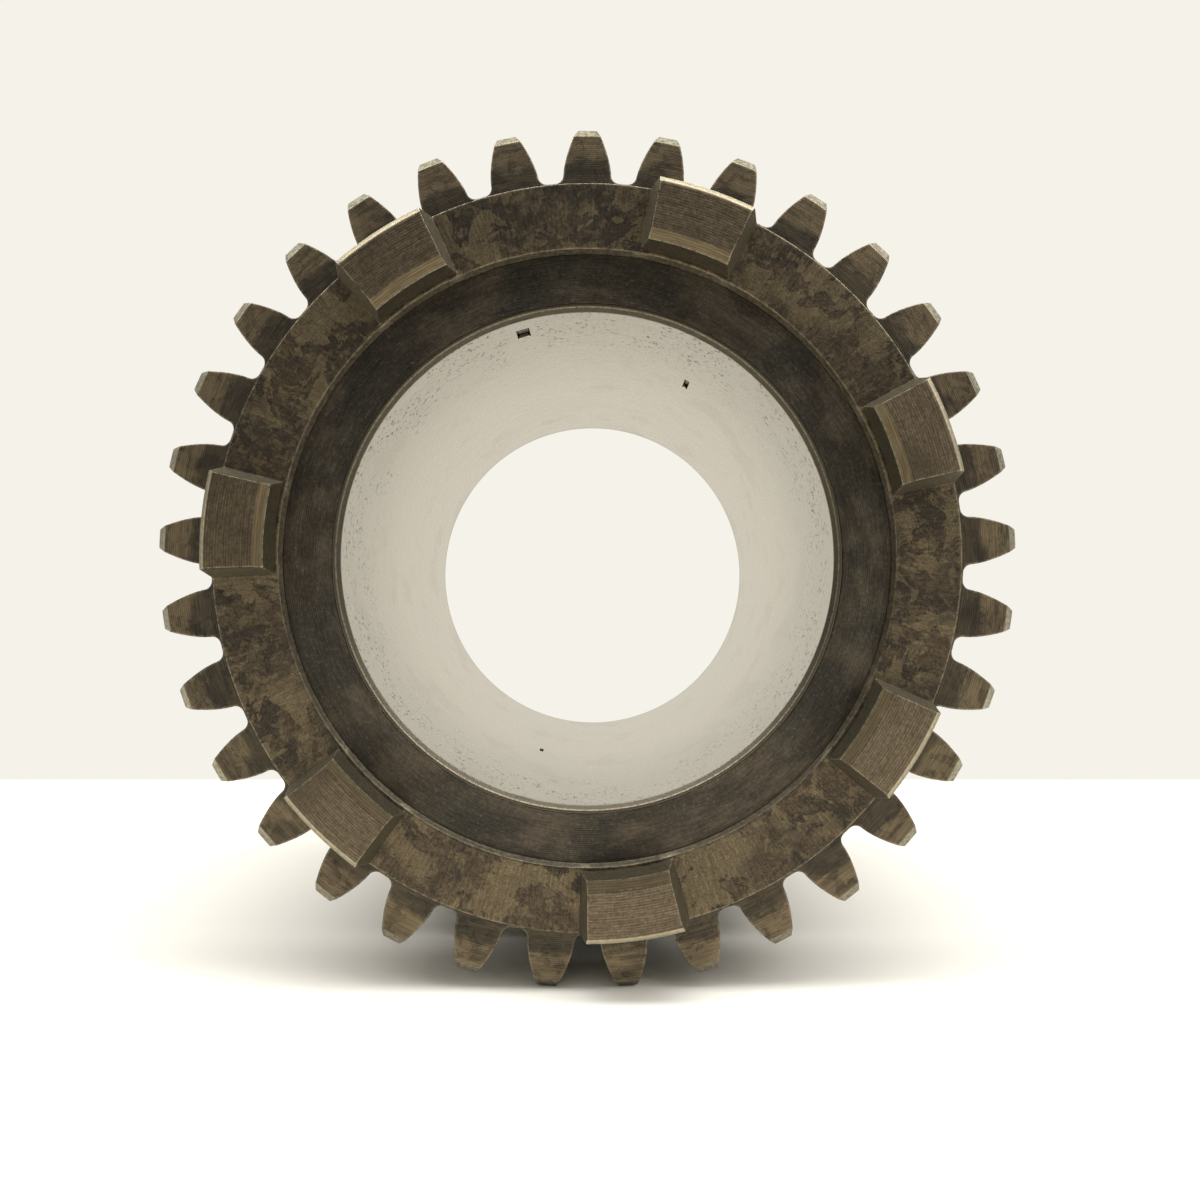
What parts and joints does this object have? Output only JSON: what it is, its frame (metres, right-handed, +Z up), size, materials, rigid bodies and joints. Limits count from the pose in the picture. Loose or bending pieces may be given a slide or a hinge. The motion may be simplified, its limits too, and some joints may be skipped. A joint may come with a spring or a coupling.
{
  "type": "helical gear",
  "caption": "Steel transmission gear with helical teeth on a bored hub, and a straight-toothed ring and clutch dogs on its front end.",
  "frame": {"origin": "on the bore axis, midway between the tops of the dogs and the hub's back face", "axes": "+Y along the bore axis, away from the dogs; +Z up, through the middle of a straight tooth; +X to the right, seen from the dogs"},
  "size_m": [0.105, 0.0852, 0.1049],
  "materials": {
    "dark_steel": "case-hardened steel under dark brown oil stain, with fine turning marks",
    "tooth_steel": "hobbed and hardened steel, brown-black stain, worn grey at the tip bevels",
    "dog_steel": "hardened steel, blotchy brown stain, fine turning lines and bright edges on the dogs",
    "ground_steel": "ground steel, satin, with small pits and light scratches"
  },
  "bodies": {
    "root": {"hub_sleeve": "dark_steel", "helical_gear_ring": "tooth_steel", "straight_tooth_ring": "tooth_steel", "dog_clutch_ring": "dog_steel", "bore_bush": "ground_steel"}
  },
  "joints": []
}
